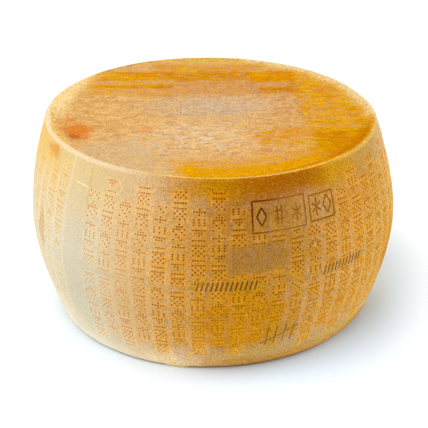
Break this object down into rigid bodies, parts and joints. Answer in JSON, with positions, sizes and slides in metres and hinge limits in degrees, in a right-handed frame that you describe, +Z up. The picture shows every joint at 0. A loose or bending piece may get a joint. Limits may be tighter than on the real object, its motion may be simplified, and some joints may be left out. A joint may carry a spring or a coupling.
{
  "type": "parmesan cheese wheel",
  "caption": "Whole uncut drum of hard cheese with bulged golden rind, dotted columns and a framed stamp pressed into its side; stands on its flat lower face.",
  "frame": {"origin": "middle of the flat lower face, on the surface the wheel stands on", "axes": "+Z up along the wheel's axis; the framed stamp faces -Y and a little +X"},
  "size_m": [0.4391, 0.44, 0.2454],
  "materials": {
    "rind": null
  },
  "bodies": {
    "root": {"cheese_wheel": "rind"}
  },
  "joints": []
}
